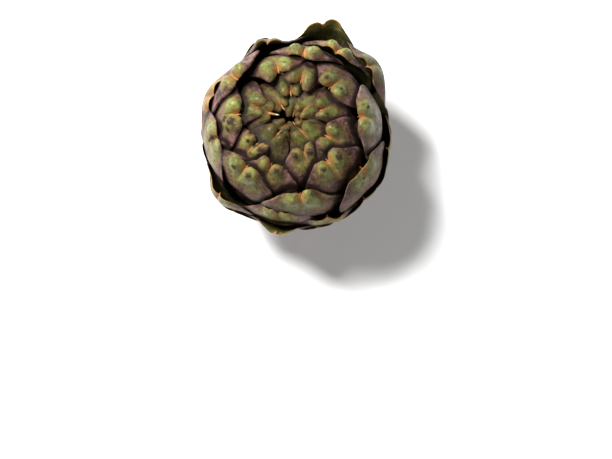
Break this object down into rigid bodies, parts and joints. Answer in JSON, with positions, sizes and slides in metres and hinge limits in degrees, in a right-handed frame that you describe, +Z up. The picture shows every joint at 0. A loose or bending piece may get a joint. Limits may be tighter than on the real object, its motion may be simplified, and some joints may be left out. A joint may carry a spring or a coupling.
{
  "type": "artichoke",
  "caption": "Whole fresh globe artichoke: a rounded head of overlapping thick green and purple bracts with notched, spine-tipped ends, on a short cut stem.",
  "frame": {"origin": "middle of the cut face of the stem", "axes": "+Z up along the stem to the crown of the head, -Y towards the side that the eye-level front view shows"},
  "size_m": [0.1075, 0.1159, 0.0894],
  "materials": {
    "inner_bract": "semi-matte, waxy",
    "crown_bract": "semi-matte, waxy",
    "outer_bract": "semi-matte, faintly fibrous",
    "base_bract": "semi-matte, faintly fibrous",
    "receptacle_and_stem": "matte, fibrous cut face"
  },
  "bodies": {
    "root": {"base_bract_45": "base_bract", "base_bract_46": "base_bract", "base_bract_47": "base_bract", "base_bract_48": "base_bract", "base_bract_49": "base_bract", "base_bract_50": "base_bract", "base_bract_51": "base_bract", "base_bract_52": "base_bract", "base_bract_53": "base_bract", "base_bract_54": "base_bract", "base_bract_55": "base_bract", "base_bract_56": "base_bract", "base_bract_57": "base_bract", "base_bract_58": "base_bract", "base_bract_59": "base_bract", "crown_bract_12": "crown_bract", "crown_bract_13": "crown_bract", "crown_bract_14": "crown_bract", "crown_bract_15": "crown_bract", "crown_bract_16": "crown_bract", "crown_bract_17": "crown_bract", "crown_bract_18": "crown_bract", "crown_bract_19": "crown_bract", "crown_bract_20": "crown_bract", "crown_bract_21": "crown_bract", "crown_bract_22": "crown_bract", "crown_bract_23": "crown_bract", "crown_bract_24": "crown_bract", "crown_bract_25": "crown_bract", "crown_bract_26": "crown_bract", "crown_bract_27": "crown_bract", "crown_bract_28": "crown_bract", "inner_bract_01": "inner_bract", "inner_bract_02": "inner_bract", "inner_bract_03": "inner_bract", "inner_bract_04": "inner_bract", "inner_bract_05": "inner_bract", "inner_bract_06": "inner_bract", "inner_bract_07": "inner_bract", "inner_bract_08": "inner_bract", "inner_bract_09": "inner_bract", "inner_bract_10": "inner_bract", "inner_bract_11": "inner_bract", "outer_bract_29": "outer_bract", "outer_bract_30": "outer_bract", "outer_bract_31": "outer_bract", "outer_bract_32": "outer_bract", "outer_bract_33": "outer_bract", "outer_bract_34": "outer_bract", "outer_bract_35": "outer_bract", "outer_bract_36": "outer_bract", "outer_bract_37": "outer_bract", "outer_bract_38": "outer_bract", "outer_bract_39": "outer_bract", "outer_bract_40": "outer_bract", "outer_bract_41": "outer_bract", "outer_bract_42": "outer_bract", "outer_bract_43": "outer_bract", "outer_bract_44": "outer_bract", "receptacle_and_stem": "receptacle_and_stem"}
  },
  "joints": []
}
